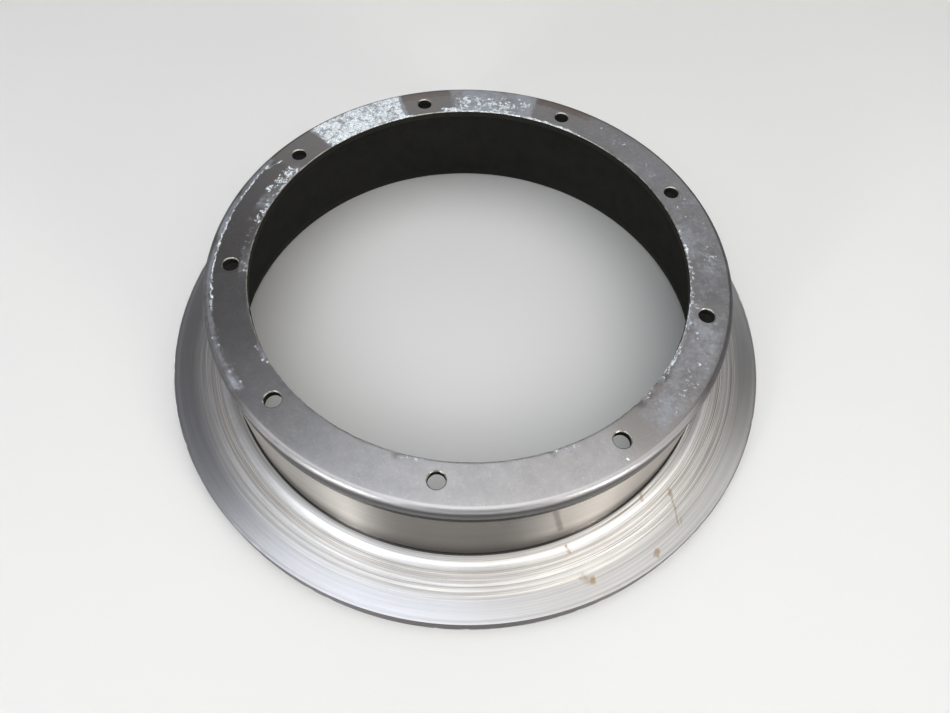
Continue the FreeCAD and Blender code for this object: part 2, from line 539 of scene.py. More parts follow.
def disc_tree(turning):
    """The whole disc: the turned section, nicked at its edges and drilled on the bolt circle."""
    t = Tree("Brake disc")
    section = t.give("Section", "NodeSocketGeometry")
    segments = t.give("Segments", "NodeSocketInt")
    hole_segments = t.give("Hole segments", "NodeSocketInt")
    hole_count = t.give("Bolt holes", "NodeSocketInt")
    circle_radius = t.give("Bolt circle radius", "NodeSocketFloat")
    hole_radius = t.give("Hole radius", "NodeSocketFloat")
    hole_break = t.give("Hole edge break", "NodeSocketFloat")
    first_hole = t.give("First hole", "NodeSocketFloat")
    depth = t.give("Nick depth", "NodeSocketFloat")
    seed = t.give("Seed", "NodeSocketFloat")
    bore = t.give("Bore radius", "NodeSocketFloat")
    rim = t.give("Rim radius", "NodeSocketFloat")
    height = t.give("Height", "NodeSocketFloat")
    thickness = t.give("Flange thickness", "NodeSocketFloat")
    ring = t.give("Ring thickness", "NodeSocketFloat")
    finishes = [t.give(name, "NodeSocketMaterial") for name in FINISHES]
    blank = t.node("GeometryNodeGroup", {}, node_tree=turning)
    t.tree.links.new(section, blank.inputs["Section"])
    t.tree.links.new(segments, blank.inputs["Segments"])
    offset = nick_offset(t, [(bore, height), (rim, ring), (rim, 0.0)], depth, seed)
    nicked = t.node("GeometryNodeSetPosition", {"Geometry": blank.outputs[0], "Offset": offset})
    past = 1.0 * MM
    above = t.maths("ADD", height, past)
    below = t.maths("SUBTRACT", t.maths("SUBTRACT", height, thickness), past)
    drill = cone_tool(t, hole_segments, below, above, hole_radius, hole_radius)
    reach = t.maths("ADD", hole_break, past)
    countersink = cone_tool(
        t,
        hole_segments,
        t.maths("SUBTRACT", above, t.maths("MULTIPLY", reach, 2.0)),
        above,
        t.maths("SUBTRACT", hole_radius, reach),
        t.maths("ADD", hole_radius, reach),
    )
    circle = t.node("GeometryNodeMeshCircle", {"Vertices": hole_count, "Radius": circle_radius})
    aim = t.node("ShaderNodeCombineXYZ", {"Z": first_hole})
    places = t.node("GeometryNodeTransform", {"Geometry": circle.outputs[0], "Rotation": aim.outputs[0]})
    holed = drilled(t, nicked.outputs[0], drill, places.outputs[0], INSIDE_ZONE)
    holed = drilled(t, holed, countersink, places.outputs[0], EDGE_ZONE)
    joined = t.node("GeometryNodeMergeByDistance", {"Geometry": holed, "Distance": MERGE_DISTANCE})
    smooth = t.node("GeometryNodeSetShadeSmooth", {"Geometry": joined.outputs[0], "Shade Smooth": True})
    fold = t.node("GeometryNodeInputMeshEdgeAngle").outputs["Unsigned Angle"]
    sharp = t.node(
        "GeometryNodeSetShadeSmooth",
        {
            "Geometry": smooth.outputs[0],
            "Selection": t.maths("GREATER_THAN", fold, SHARP_FOLD),
            "Shade Smooth": False,
        },
        domain="EDGE",
    )
    current = t.node("GeometryNodeRealizeInstances", {"Geometry": sharp.outputs[0]}).outputs[0]
    zone = t.node("GeometryNodeInputNamedAttribute", {"Name": ZONE}, data_type="INT").outputs[0]
    for index, finish in enumerate(finishes):
        same = t.node("FunctionNodeCompare", {2: zone, 3: index}, data_type="INT", operation="EQUAL")
        current = t.node(
            "GeometryNodeSetMaterial",
            {"Geometry": current, "Selection": same.outputs[0], "Material": finish},
        ).outputs[0]
    t.result(current)
    return t.tree


def set_inputs(modifier, values):
    """Sets a modifier's inputs by name, through their sockets' identifiers."""
    names = {
        item.name: item.identifier
        for item in modifier.node_group.interface.items_tree
        if item.in_out == "INPUT"
    }
    for name, value in values.items():
        modifier[names[name]] = value


# Shader nodes


class Wire:
    """A shader output that takes part in Python expressions."""

    def __init__(self, board, socket):
        self.board = board
        self.socket = socket

    def __add__(self, other):
        return self.board.maths("ADD", self, other)

    __radd__ = __add__

    def __sub__(self, other):
        return self.board.maths("SUBTRACT", self, other)

    def __rsub__(self, other):
        return self.board.maths("SUBTRACT", other, self)

    def __mul__(self, other):
        return self.board.maths("MULTIPLY", self, other)

    __rmul__ = __mul__

    def __truediv__(self, other):
        return self.board.maths("DIVIDE", self, other)

    def __pow__(self, other):
        return self.board.maths("POWER", self, other)

    def __abs__(self):
        return self.board.maths("ABSOLUTE", self)

    def over(self, other):
        """The larger of the two."""
        return self.board.maths("MAXIMUM", self, other)


class Board:
    """The nodes of a material or of the world, and the one way in which they are made."""

    def __init__(self, name, owner=None):
        self.owner = owner or bpy.data.materials.new(name)
        self.owner.use_nodes = True
        self.tree = self.owner.node_tree
        self.tree.nodes.clear()

    def node(self, kind, settings=None, sockets=None, output=0):
        """A node with its settings made first, then its sockets; gives one of its outputs."""
        made = self.tree.nodes.new(kind)
        for name, value in (settings or {}).items():
            if name == "stops":
                self.stops(made.color_ramp, value)
            else:
                setattr(made, name, value)
        for key, value in (sockets or {}).items():
            if isinstance(value, Wire):
                self.tree.links.new(value.socket, made.inputs[key])
            else:
                made.inputs[key].default_value = value
        return Wire(self, made.outputs[output]) if made.outputs else None

    def stops(self, ramp, values):
        """Gives a colour ramp its stops: a place and a colour each."""
        while len(ramp.elements) > 1:
            ramp.elements.remove(ramp.elements[-1])
        for index, (place, shade) in enumerate(values):
            element = ramp.elements[0] if index == 0 else ramp.elements.new(place)
            element.position = place
            element.color = (*shade, 1.0)

    def maths(self, operation, *values):
        """A Math node on wires or numbers."""
        return self.node("ShaderNodeMath", {"operation": operation}, dict(enumerate(values)))

    def step(self, value, low, high):
        """0 below low, 1 above high and a smooth rise between; low above high falls instead."""
        flip = low > high
        sockets = {
            "Value": value,
            "From Min": min(low, high),
            "From Max": max(low, high),
            "To Min": 1.0 if flip else 0.0,
            "To Max": 0.0 if flip else 1.0,
        }
        return self.node("ShaderNodeMapRange", {"interpolation_type": "SMOOTHSTEP"}, sockets)

    def band(self, value, low, high, soft):
        """1 between low and high, with soft edges outside them."""
        return self.step(value, low - soft, low) * self.step(value, high + soft, high)

    def noise(self, place, scale, detail, roughness, seed, output="Fac"):
        """A noise between 0 and 1."""
        sockets = {"Vector": place, "W": seed, "Scale": scale, "Detail": detail, "Roughness": roughness}
        return self.node("ShaderNodeTexNoise", {"noise_dimensions": "4D"}, sockets, output)

    def vectors(self, operation, first, second):
        """A Vector Math node on two vectors."""
        return self.node("ShaderNodeVectorMath", {"operation": operation}, {0: first, 1: second})

    def scaled(self, vector, amount):
        """A vector times a number."""
        return self.node("ShaderNodeVectorMath", {"operation": "SCALE"}, {0: vector, "Scale": amount})

    def growth(self, noise, amount, soft):
        """Where a noise stands above a level that sinks as the amount grows from 0 to 1."""
        level = 0.72
        sink = 0.34
        return self.step(noise + amount * sink, level - soft, level + soft)

    def vector(self, x, y, z):
        """A vector from its three parts."""
        return self.node("ShaderNodeCombineXYZ", None, {"X": x, "Y": y, "Z": z})

    def along(self, vector, axis):
        """One part of a vector: its X, Y or Z."""
        return self.node("ShaderNodeSeparateXYZ", None, {0: vector}, axis)

    def mix(self, share, first, second):
        """A colour between two, by a share from 0 to 1."""
        sockets = {0: share, 6: rgba(first), 7: rgba(second)}
        return self.node("ShaderNodeMix", {"data_type": "RGBA"}, sockets, 2)

    def layered(self, base, layers):
        """A colour under layers, laid one over another: a share and a colour each."""
        for share, shade in layers:
            base = self.mix(share, base, shade)
        return base

    def ramp(self, value, stops):
        """A colour that follows a value through stops."""
        return self.node("ShaderNodeValToRGB", {"stops": stops}, {"Fac": value})

    def bump(self, height, strength, distance):
        """A normal bent by a height."""
        sockets = {"Height": height, "Strength": strength, "Distance": distance}
        return self.node("ShaderNodeBump", None, sockets)

    def surface(self, **sockets):
        """The one surface shader, joined to the material's output."""
        return self.finished(self.node("ShaderNodeBsdfPrincipled", None, sockets))

    def finished(self, shader, end="ShaderNodeOutputMaterial"):
        """Joins a shader to the output and gives the material or the world."""
        self.node(end, None, {"Surface": shader})
        return self.owner


def rgba(value):
    """A colour of three numbers as a socket takes it; a wire is left as it is."""
    return value if isinstance(value, Wire) else (*tuple(value)[:3], 1.0)


def largest(wires):
    """The largest of several wires."""
    found = wires[0]
    for wire in wires[1:]:
        found = found.over(wire)
    return found


class Place:
    """Where a point of the disc lies, in millimetres and as seen from the camera.

    ragged moves the point by about so many millimetres, so that the edges of what is
    placed with it are uneven, as the edges of a stain are.
    """

    RAGGED_SCALE = 0.45
    RAGGED_GAIN = 4.0

    def __init__(self, board, ragged=0.0, seed=0.0):
        self.board = board
        held = board.node("ShaderNodeTexCoord", None, None, "Object")
        sockets = {
            "Vector": held,
            "Rotation": (0.0, 0.0, math.radians(SEEN_TURN)),
            "Scale": (1 / MM, 1 / MM, 1 / MM),
        }
        self.point = board.node("ShaderNodeMapping", {"vector_type": "POINT"}, sockets)
        if ragged:
            shake = board.noise(self.point, self.RAGGED_SCALE, 4.0, 0.6, seed, output="Color")
            centred = board.vectors("SUBTRACT", shake, (0.5, 0.5, 0.5))
            self.point = board.vectors("ADD", self.point, board.scaled(centred, self.RAGGED_GAIN * ragged))
        self.x = board.along(self.point, "X")
        self.y = board.along(self.point, "Y")
        self.z = board.along(self.point, "Z")
        self.radius = (self.x * self.x + self.y * self.y) ** 0.5
        self.cos = self.x / self.radius
        self.sin = self.y / self.radius

    def sector(self, first, last, soft):
        """1 between two angles in degrees, going up from first to last, with soft ends outside."""
        middle = math.radians((first + last) / 2)
        half = (last - first) / 2
        nearness = self.cos * math.cos(middle) + self.sin * math.sin(middle)
        inside = math.cos(math.radians(half))
        outside = math.cos(math.radians(min(180.0, half + soft)))
        return self.board.step(nearness, outside, inside)

    def ring(self, low, high, soft):
        """1 between two radii."""
        return self.board.band(self.radius, low, high, soft)

    def patch(self, first, last, low, high, soft_turn=2.0, soft_radius=1.0):
        """1 in a patch between two angles and two radii."""
        return self.sector(first, last, soft_turn) * self.ring(low, high, soft_radius)

    def most(self, patches):
        """The most that any of several patches gives: an amount and the patch's measures."""
        return largest([self.patch(*measures) * amount for amount, *measures in patches])

    def mark(self, first, last, width, soft):
        """A narrow mark between two points, each an angle in degrees and a radius."""
        ax, ay = polar(*first)
        bx, by = polar(*last)
        reach = math.hypot(bx - ax, by - ay)
        dx = (bx - ax) / reach
        dy = (by - ay) / reach
        along = (self.x - ax) * dx + (self.y - ay) * dy
        across = (self.y - ay) * dx - (self.x - ax) * dy
        close = self.board.step(abs(across), width / 2 + soft, width / 2)
        return close * self.board.band(along, 0.0, reach, 2 * soft)

    def streaks(self, fineness, drift, seed, detail, roughness=0.55):
        """Noise drawn out round the axis: fine across the radius and slow along the turn."""
        across = self.board.vector(self.cos * drift, self.sin * drift, self.radius * fineness)
        return self.board.noise(across, 1.0, detail, roughness, seed)


def polar(degrees, radius):
    """The point at an angle and a radius."""
    return radius * math.cos(math.radians(degrees)), radius * math.sin(math.radians(degrees))


def tinted(colour_value, share):
    """A colour made darker or lighter by a share."""
    return tuple(min(1.0, part * share) for part in colour_value)


# What lies on the flange: an amount, two angles, two radii and how soft the ends and edges are
FLANGE_CRUST = [
    (0.74, 113.0, 137.0, 93.5, 108.5, 1.2, 1.5),
    (0.58, 76.5, 96.5, 92.0, 102.0, 1.6, 6.0),
    (0.70, 95.5, 101.0, 92.0, 95.2, 1.2, 0.8),
    (0.60, 151.0, 161.0, 92.0, 98.0, 1.5, 2.5),
    (0.50, 159.0, 172.0, 92.0, 95.0, 2.0, 1.5),
    (0.36, 204.0, 219.0, 105.5, 108.8, 2.0, 1.0),
    (0.30, 318.0, 340.0, 98.0, 105.0, 4.0, 3.0),
    (0.34, 346.0, 372.0, 92.0, 96.5, 4.0, 2.0),
    (0.28, 2.0, 60.0, 98.0, 106.0, 6.0, 3.0),
    (0.36, 174.0, 190.0, 92.5, 96.0, 3.0, 1.0),
]
FLANGE_EDGE_CRUST = [
    (0.40, 0.0, 360.0, 92.0, 93.1, 1.0, 0.7),
    (0.66, 60.0, 98.0, 92.0, 93.4, 3.0, 0.8),
    (0.76, 111.0, 137.0, 92.0, 93.6, 2.0, 0.8),
    (0.54, 318.0, 372.0, 92.0, 93.8, 6.0, 0.8),
    (0.50, 212.0, 217.0, 92.0, 94.5, 2.0, 0.8),
    (0.48, 257.0, 263.0, 92.0, 94.2, 2.0, 0.8),
    (0.46, 291.0, 297.0, 92.0, 94.2, 2.0, 0.8),
]
FLANGE_HAZE = [
    (0.95, 112.0, 137.5, 92.0, 109.5, 1.0, 1.5),
    (0.85, 75.0, 97.5, 92.0, 108.0, 1.5, 3.0),
    (0.60, 150.0, 171.0, 92.0, 98.0, 2.0, 2.5),
    (0.60, 152.0, 218.0, 107.0, 109.5, 2.0, 0.8),
    (0.50, 316.0, 342.0, 96.0, 106.0, 5.0, 3.0),
    (0.40, 342.0, 400.0, 92.0, 108.0, 6.0, 3.0),
]
FLANGE_BOSSES = [
    (0.75, 98.5, 110.5, 90.0, 111.5, 1.5, 1.0),
    (0.75, 138.5, 151.0, 90.0, 111.5, 1.5, 1.0),
    (0.30, 60.0, 74.0, 90.0, 108.0, 4.0, 2.0),
]
FLANGE_SOOT = [
    (0.65, 152.0, 188.0, 90.0, 106.0, 2.0, 0.6),
    (0.40, 186.0, 205.0, 90.0, 107.0, 10.0, 0.6),
    (0.80, 311.0, 326.0, 90.0, 109.5, 9.0, 1.0),
]
FLANGE_STAIN = [
    (0.80, 61.0, 76.0, 105.0, 112.0, 3.0, 1.5),
    (0.45, 96.0, 111.0, 105.0, 112.0, 2.0, 1.5),
]


def white_line(b, p, ragged, grain, crumbs):
    """The broken white line near the flange's outer edge, on the left, with its tail inwards."""
    broken = b.noise(p.point, 0.35, 3.0, 0.6, 21.0)
    line = ragged.ring(106.5, 106.8, 0.35) * ragged.sector(154.0, 197.0, 2.0) * b.step(broken, 0.32, 0.50)
    tail = ragged.mark((154.5, 106.2), (150.5, 103.8), 0.5, 0.4) * b.step(broken, 0.36, 0.5)
    return line.over(tail) * b.step(grain, 0.32, 0.48) * b.step(crumbs, 0.36, 0.50)


def flange_material(finish):
    """Dull steel, dark where the wheel's bosses sat and crusted with pale residue between; the outer corner
    carries a painted highlight on its near sector and painted shade round the rest, and the land below it
    painted shade.
    """
    b = Board("flange_steel")
    p = Place(b)
    ragged = Place(b, 0.9, 11.0)
    grain = b.noise(p.point, 2.4, 4.0, 0.7, 1.0)
    crumbs = b.noise(p.point, 0.75, 4.0, 0.7, 2.0)
    blotches = b.noise(p.point, 0.26, 3.0, 0.6, 22.0)
    clouds = b.noise(p.point, 0.09, 4.0, 0.62, 3.0)
    on_top = b.step(p.z, 58.2, 59.2)
    crust = ragged.most(FLANGE_CRUST).over(ragged.most(FLANGE_EDGE_CRUST)) * on_top
    spots = b.growth(crumbs * 0.6 + blotches * 0.4, crust, 0.04)
    spots = spots.over(white_line(b, p, ragged, grain, crumbs) * on_top)
    cover = crust.over(ragged.most(FLANGE_HAZE) * on_top)
    haze = b.growth(crumbs * 0.4 + clouds * 0.6, cover, 0.16)
    bosses = ragged.most(FLANGE_BOSSES)
    specks = b.step(grain, 0.61, 0.68) * b.step(clouds, 0.34, 0.56) * on_top
    chalk = b.mix(b.step(grain, 0.42, 0.60), tinted(finish.residue, 0.55), tinted(finish.residue, 1.2))
    scratch = p.mark((-55.9, 106.6), (-55.8, 107.1), 0.3, 0.25)
    # The rounded corner: the sector named rubbed is a painted highlight, and the rest of the corner gets
    # painted shade
    crown = b.step(p.radius, 108.3, 108.9) * b.step(p.z, 57.6, 58.2)
    rubbed = p.sector(-129.0, -42.0, 12.0)
    # The land below the corner gets painted shade, darkest just under the corner
    land = b.step(p.z, 57.4, 56.6) * b.step(p.radius, 109.0, 109.6)
    plain = finish.flange_steel
    steel = b.layered(plain, [
        (b.step(clouds, 0.36, 0.66) * 0.4, tinted(plain, 0.78)),
        (b.step(crumbs, 0.48, 0.72) * 0.45, tinted(plain, 1.3)),
        (b.step(blotches, 0.42, 0.62) * 0.25, tinted(plain, 0.72)),
        (bosses, finish.flange_dark),
        (ragged.most(FLANGE_SOOT), tinted(finish.flange_dark, 0.75)),
        (ragged.most(FLANGE_STAIN) * 0.7, finish.flange_brown),
        (b.step(grain, 0.40, 0.30) * 0.35, tinted(finish.flange_dark, 0.5)),
        (specks * 0.5, tinted(finish.residue, 0.8)),
        (haze * 0.75, finish.haze),
        (spots, chalk),
        (scratch * on_top, finish.residue),
        # Painted highlight on the corner's near sector, painted shade on the rest of the corner
        (crown * rubbed * 0.75, tinted(plain, 1.50)),
        (crown * (1.0 - rubbed) * 0.6, tinted(plain, 0.30)),
        # Painted shade on the land, strongest just under the corner
        (land * (0.55 + b.step(p.z, 53.6, 55.0) * 0.40), tinted(plain, 0.22)),
    ])
    height = grain * 0.35 + spots * 1.2 + haze * 0.4 - bosses * 0.2
    return b.surface(**{
        "Base Color": steel,
        "Metallic": 1.0 - (spots * 0.95).over(haze * 0.55),
        "Roughness": 0.25 + grain * 0.10 + haze * 0.2 + spots * 0.3 + crown * 0.12,
        "Specular Tint": (0.65, 0.65, 0.65, 1.0),
        "Normal": b.bump(height, 0.4, 0.00012),
    })


# Residue on the rubbed edges: an amount, two angles and two radii
EDGE_CRUST = [
    (0.55, 58.0, 98.0, 90.0, 96.0),
    (0.60, 111.0, 137.0, 90.0, 96.0),
    (0.50, 318.0, 372.0, 90.0, 96.0),
    (0.30, 0.0, 360.0, 90.0, 96.0),
]


def edge_material(finish):
    """Edges rubbed bare: the bore's upper edge and the tops of the bolt holes."""
    b = Board("rubbed_edge_steel")
    p = Place(b)
    rub = b.noise(p.point, 0.5, 3.0, 0.6, 31.0)
    chalk = b.noise(p.point, 0.9, 3.0, 0.6, 32.0)
    spots = b.growth(chalk, p.most(EDGE_CRUST), 0.06)
    steel = b.layered(tinted(finish.edge_steel, 0.45), [
        (b.step(rub, 0.34, 0.6), finish.edge_steel),
        (spots, finish.residue),
    ])
    return b.surface(**{
        "Base Color": steel,
        "Metallic": 1.0 - spots * 0.9,
        "Roughness": 0.34 + rub * 0.15 + spots * 0.3,
        "Normal": b.bump(rub + spots, 0.3, 0.0001),
    })


# The brown run down the wall: an angle and a height on its line, how it leans, and the
# wall's radius. Its formula gives it a twin on the far side.
RUN_TURN = math.radians(-69.8)
RUN_HEIGHT = 34.5
RUN_LEAN = 0.217
RUN_RADIUS = 111.0


def wall_run(b, p, patchy):
    """How much of the brown run there is, broken up by a noise."""
    across = (p.sin * math.cos(RUN_TURN) - p.cos * math.sin(RUN_TURN)) * RUN_RADIUS
    leaning = across + (p.z - RUN_HEIGHT) * RUN_LEAN
    run = b.step(abs(leaning), 1.9, 0.4) * b.band(p.z, 22.0, 46.0, 3.0)
    return run * (0.5 + b.step(patchy, 0.3, 0.5) * 0.5)


def wall_material(finish):
    """Turned steel: fine level tool marks, darker towards the foot, with a brown run; painted shade on its
    nearest part and painted shade bands in the crease at the foot and below the land.
    """
    b = Board("turned_wall_steel")
    p = Place(b)
    marks = b.noise(b.vector(p.cos * 3.0, p.sin * 3.0, p.z * 3.2), 1.0, 3.0, 0.6, 3.0)
    fine = b.noise(b.vector(p.cos * 5.0, p.sin * 5.0, p.z * 9.0), 1.0, 2.0, 0.6, 13.0)
    broad = b.noise(b.vector(p.cos * 1.5, p.sin * 1.5, p.z * 0.25), 1.0, 3.0, 0.55, 4.0)
    run = wall_run(b, p, marks * 0.3 + broad * 0.7)
    # Painted shade: a dark band in the crease at the wall's foot and a fainter one below the land
    painted_shade_bands = b.step(p.z, 11.0, 9.8).over(b.step(p.z, 46.6, 48.4) * 0.85)
    plain = finish.wall_steel
    steel = b.layered(plain, [
        (b.step(broad, 0.38, 0.66) * 0.4, tinted(plain, 0.75)),
        (b.step(marks, 0.45, 0.72) * 0.35, tinted(plain, 0.55)),
        (b.step(fine, 0.5, 0.7) * 0.25, tinted(plain, 0.5)),
        (b.step(p.z, 26.0, 12.5) * 0.65, tinted(plain, 0.18)),
        # Painted shade on the wall's nearest part
        (p.sector(-99.0, -83.0, 14.0) * 0.75, finish.wall_painted_shade),
        (run * 0.42, tinted(finish.ring_brown, 0.5)),
        # Painted shade bands at the foot's crease and below the land
        (painted_shade_bands, tinted(plain, 0.06)),
    ])
    return b.surface(**{
        "Base Color": steel,
        "Metallic": 1.0,
        "Roughness": 0.30 + broad * 0.08 + painted_shade_bands * 0.1,
        "Anisotropic": 0.85,
        "Anisotropic Rotation": 0.25,
        "Specular Tint": (0.1, 0.1, 0.1, 1.0),
        "Normal": b.bump(marks + fine * 0.5, 0.15, 0.00008),
    })


# The radii between which the ring's shades run
RING_IN = 111.0
RING_OUT = 139.0

# How bright the steel is at a radius of the ring, against the friction ring's own colour. Mostly the steel's
# own tone, but the bright band round 115.6 to 117.2 mm is a painted highlight on the shoulder, and the dark
# start at the wall's foot is painted shade.
RING_SHADES = [
    (111.5, 0.55),
    (113.5, 0.92),
    (114.6, 0.98),
    (115.6, 1.52),
    (117.2, 1.82),
    (118.2, 1.34),
    (119.0, 1.05),
    (120.0, 1.36),
    (121.2, 1.16),
    (122.4, 1.24),
    (124.0, 1.26),
    (125.0, 1.05),
    (128.0, 0.98),
    (130.0, 0.80),
    (132.0, 0.78),
    (135.5, 0.84),
    (137.2, 1.00),
    (137.7, 0.92),
    (138.4, 0.85),
]

# Rust on the ring: how much, the two ends as angle and radius, the width and how soft the edge is
RING_RUST = [
    (0.90, (-65.3, 131.6), (-65.2, 131.0), 1.2, 1.3),
    (0.55, (-66.0, 131.6), (-66.7, 128.8), 2.0, 1.6),
    (0.72, (-67.1, 118.2), (-67.2, 115.6), 0.6, 0.9),
    (0.66, (-47.8, 115.2), (-47.0, 113.0), 0.7, 0.9),
    (0.74, (-42.6, 122.2), (-41.9, 120.2), 1.0, 0.9),
    (0.70, (-44.0, 126.7), (-42.5, 122.1), 0.4, 0.8),
    (0.70, (-45.9, 131.3), (-44.0, 126.7), 0.2, 0.7),
    (0.60, (-46.2, 133.0), (-45.9, 131.3), 0.2, 0.6),
    (0.62, (-45.4, 132.6), (-44.7, 131.2), 0.3, 0.7),
    (0.82, (-53.0, 135.2), (-52.5, 134.4), 1.2, 1.2),
]


def ring_stops(base):
    """The ring's shades as the stops of a ramp over its width."""
    stops = []
    for radius, shade in RING_SHADES:
        stops.append(((radius - RING_IN) / (RING_OUT - RING_IN), tinted(base, shade)))
    return stops


def ring_rust(b, p):
    """Rust on the ring's upper face: the marks in the list, broken up by a noise."""
    shaken = Place(b, 0.3, 12.0)
    crumbs = b.noise(p.point, 0.9, 4.0, 0.75, 8.0)
    marks = largest([
        shaken.mark(first, last, width, soft) * amount
        for amount, first, last, width, soft in RING_RUST
    ])
    upper = b.step(p.z, 5.0, 7.0)
    return b.step(crumbs * 0.75 + marks * 0.45, 0.46, 0.84) * (0.30 + marks * 0.55) * upper


def ring_material(finish):
    """Steel that the pads have worn: scored and brown near the hub, smooth near the rim, with a painted
    highlight on the shoulder, painted shade at the wall's foot and painted reflection tints and shade on
    either side.
    """
    b = Board("friction_ring_steel")
    p = Place(b)
    r = p.radius
    wide = p.streaks(0.42, 0.9, 4.0, 2.0)
    fine = p.streaks(2.2, 1.8, 5.0, 3.0, 0.7)
    thin = p.streaks(1.9, 0.9, 14.0, 3.0, 0.75)
    hair = p.streaks(7.0, 3.0, 6.0, 2.0, 0.6)
    cloud = b.noise(p.point, 0.05, 3.0, 0.5, 7.0)
    grain = b.noise(p.point, 0.8, 4.0, 0.7, 15.0)
    near_hub = b.step(r, 133.0, 123.0)
    near_rim = b.step(r, 126.0, 131.0)
    scored = near_hub * (1.0 - p.ring(115.0, 117.4, 0.7) * 0.75)
    aside = 1.0 + p.sector(-50.0, 5.0, 20.0) * 0.6
    film = near_hub * b.step(wide, 0.42, 0.60) * b.step(r, 117.5, 119.5)
    rust = ring_rust(b, p)
    side = b.step(r, 138.3, 138.6)
    plain = finish.ring_steel
    streak = tinted(finish.ring_brown, 0.6)
    shades = b.ramp((r - RING_IN) / (RING_OUT - RING_IN), ring_stops(plain))
    steel = b.layered(shades, [
        (film * 0.34, finish.ring_brown),
        # Painted reflections: a warm tint on the right, a darker sector near the rim and a cool tint on the
        # left near the rim
        (p.sector(-80.0, 10.0, 30.0) * 0.25, finish.ring_warm),
        (p.sector(-78.0, -52.0, 20.0) * near_rim * 0.55, tinted(plain, 0.5)),
        (p.sector(-145.0, -95.0, 30.0) * near_rim * 0.5, finish.ring_cool),
        (b.step(fine, 0.55, 0.60) * (0.05 + scored * 0.32) * aside, streak),
        (b.step(thin, 0.54, 0.60) * (0.08 + scored * 0.60) * aside, finish.ring_line),
        (b.step(thin, 0.45, 0.40) * (0.06 + scored * 0.44) * aside, streak),
        (b.step(hair, 0.5, 0.62) * 0.25, tinted(plain, 0.4)),
        (b.step(cloud, 0.48, 0.75) * 0.2, tinted(finish.ring_warm, 0.75)),
        (b.step(grain, 0.5, 0.75) * 0.2, tinted(plain, 0.65)),
        (rust, finish.rust),
        (side * 0.95, finish.rim_side),
    ])
    return b.surface(**{
        "Base Color": steel,
        "Metallic": 1.0 - rust * 0.8,
        "Roughness": 0.27 + scored * 0.10 + fine * 0.04 + rust * 0.4 + side * 0.25,
        "Anisotropic": 0.7,
        "Anisotropic Rotation": 0.25,
        "Normal": b.bump(fine * (0.25 + scored * 0.75) + thin * scored * 0.4 + hair * 0.25, 0.25, 0.00008),
    })


def inside_material(finish):
    """Dark film on the inside of the hat and in the bolt holes, mottled and faintly run; its colour is set
    darker still as painted shade.
    """
    b = Board("inside_film")
    p = Place(b)
    mottle = b.noise(p.point, 0.16, 4.0, 0.6, 5.0)
    grain = b.noise(p.point, 1.1, 3.0, 0.6, 6.0)
    runs = b.noise(b.vector(p.cos * 14.0, p.sin * 14.0, p.z * 0.03), 1.0, 3.0, 0.55, 9.0)
    film = b.layered(finish.inside_steel, [
        (b.step(mottle, 0.35, 0.7) * 0.6, tinted(finish.inside_steel, 0.6)),
        (b.step(runs, 0.5, 0.72) * 0.4, finish.inside_brown),
        (b.step(grain, 0.6, 0.72) * 0.3, tinted(finish.inside_brown, 1.5)),
        (b.step(p.z, 6.0, 0.5) * 0.5, tinted(finish.inside_brown, 2.0)),
    ])
    return b.surface(**{
        "Base Color": film,
        "Metallic": 0.0,
        "Roughness": 0.62 + grain * 0.2,
        "Specular IOR Level": 0.1,
        "Normal": b.bump(grain * 0.5 + mottle * 0.5, 0.25, 0.0002),
    })


# Pieces


class DISC_OT_build(bpy.types.Operator):
    """Make the worn brake disc and let it stand for the plain one"""

    bl_idname = "brake_disc.build"
    bl_label = "Brake disc"

    def execute(self, context):
        sizes = context.scene.disc_sizes
        finish = context.scene.disc_finish
        draft = bpy.data.objects.new("disc_draft", disc_section(sizes).mesh("disc_draft"))
        context.scene.collection.objects.link(draft)
        modifier = draft.modifiers.new("Turned and drilled", "NODES")
        modifier.node_group = disc_tree(turning_tree())
        set_inputs(modifier, {
            "Segments": sizes.segments,
            "Hole segments": sizes.hole_segments,
            "Bolt holes": sizes.hole_count,
            "Bolt circle radius": sizes.bolt_circle_radius,
            "Hole radius": sizes.hole_radius,
            "Hole edge break": sizes.hole_break,
            "First hole": math.radians(FIRST_HOLE_ANGLE),
            "Nick depth": sizes.nick_depth,
            "Seed": float(sizes.seed),
            "Bore radius": sizes.bore_radius,
            "Rim radius": sizes.rim_radius,
            "Height": sizes.height,
            "Flange thickness": sizes.flange_thickness,
            "Ring thickness": sizes.ring_thickness,
            "Flange": flange_material(finish),
            "Wall": wall_material(finish),
            "Ring": ring_material(finish),
            "Inside": inside_material(finish),
            "Edge": edge_material(finish),
        })
        graph = context.evaluated_depsgraph_get()
        mesh = bpy.data.meshes.new_from_object(draft.evaluated_get(graph), depsgraph=graph)
        draft.modifiers.remove(modifier)
        bpy.data.objects.remove(draft)
        if not mesh.polygons:
            raise RuntimeError("the disc's node tree gave no faces")
        disc = bpy.data.objects.new("worn_brake_disc", mesh)
        context.scene.collection.objects.link(disc)
        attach(disc, "root")
        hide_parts(NODE)
        return {"FINISHED"}


# Stage


# How far out the floor turns from lit to plain, in metres, and half its side
FLOOR_FADE = (0.55, 1.15)
FLOOR_HALF = 12.0


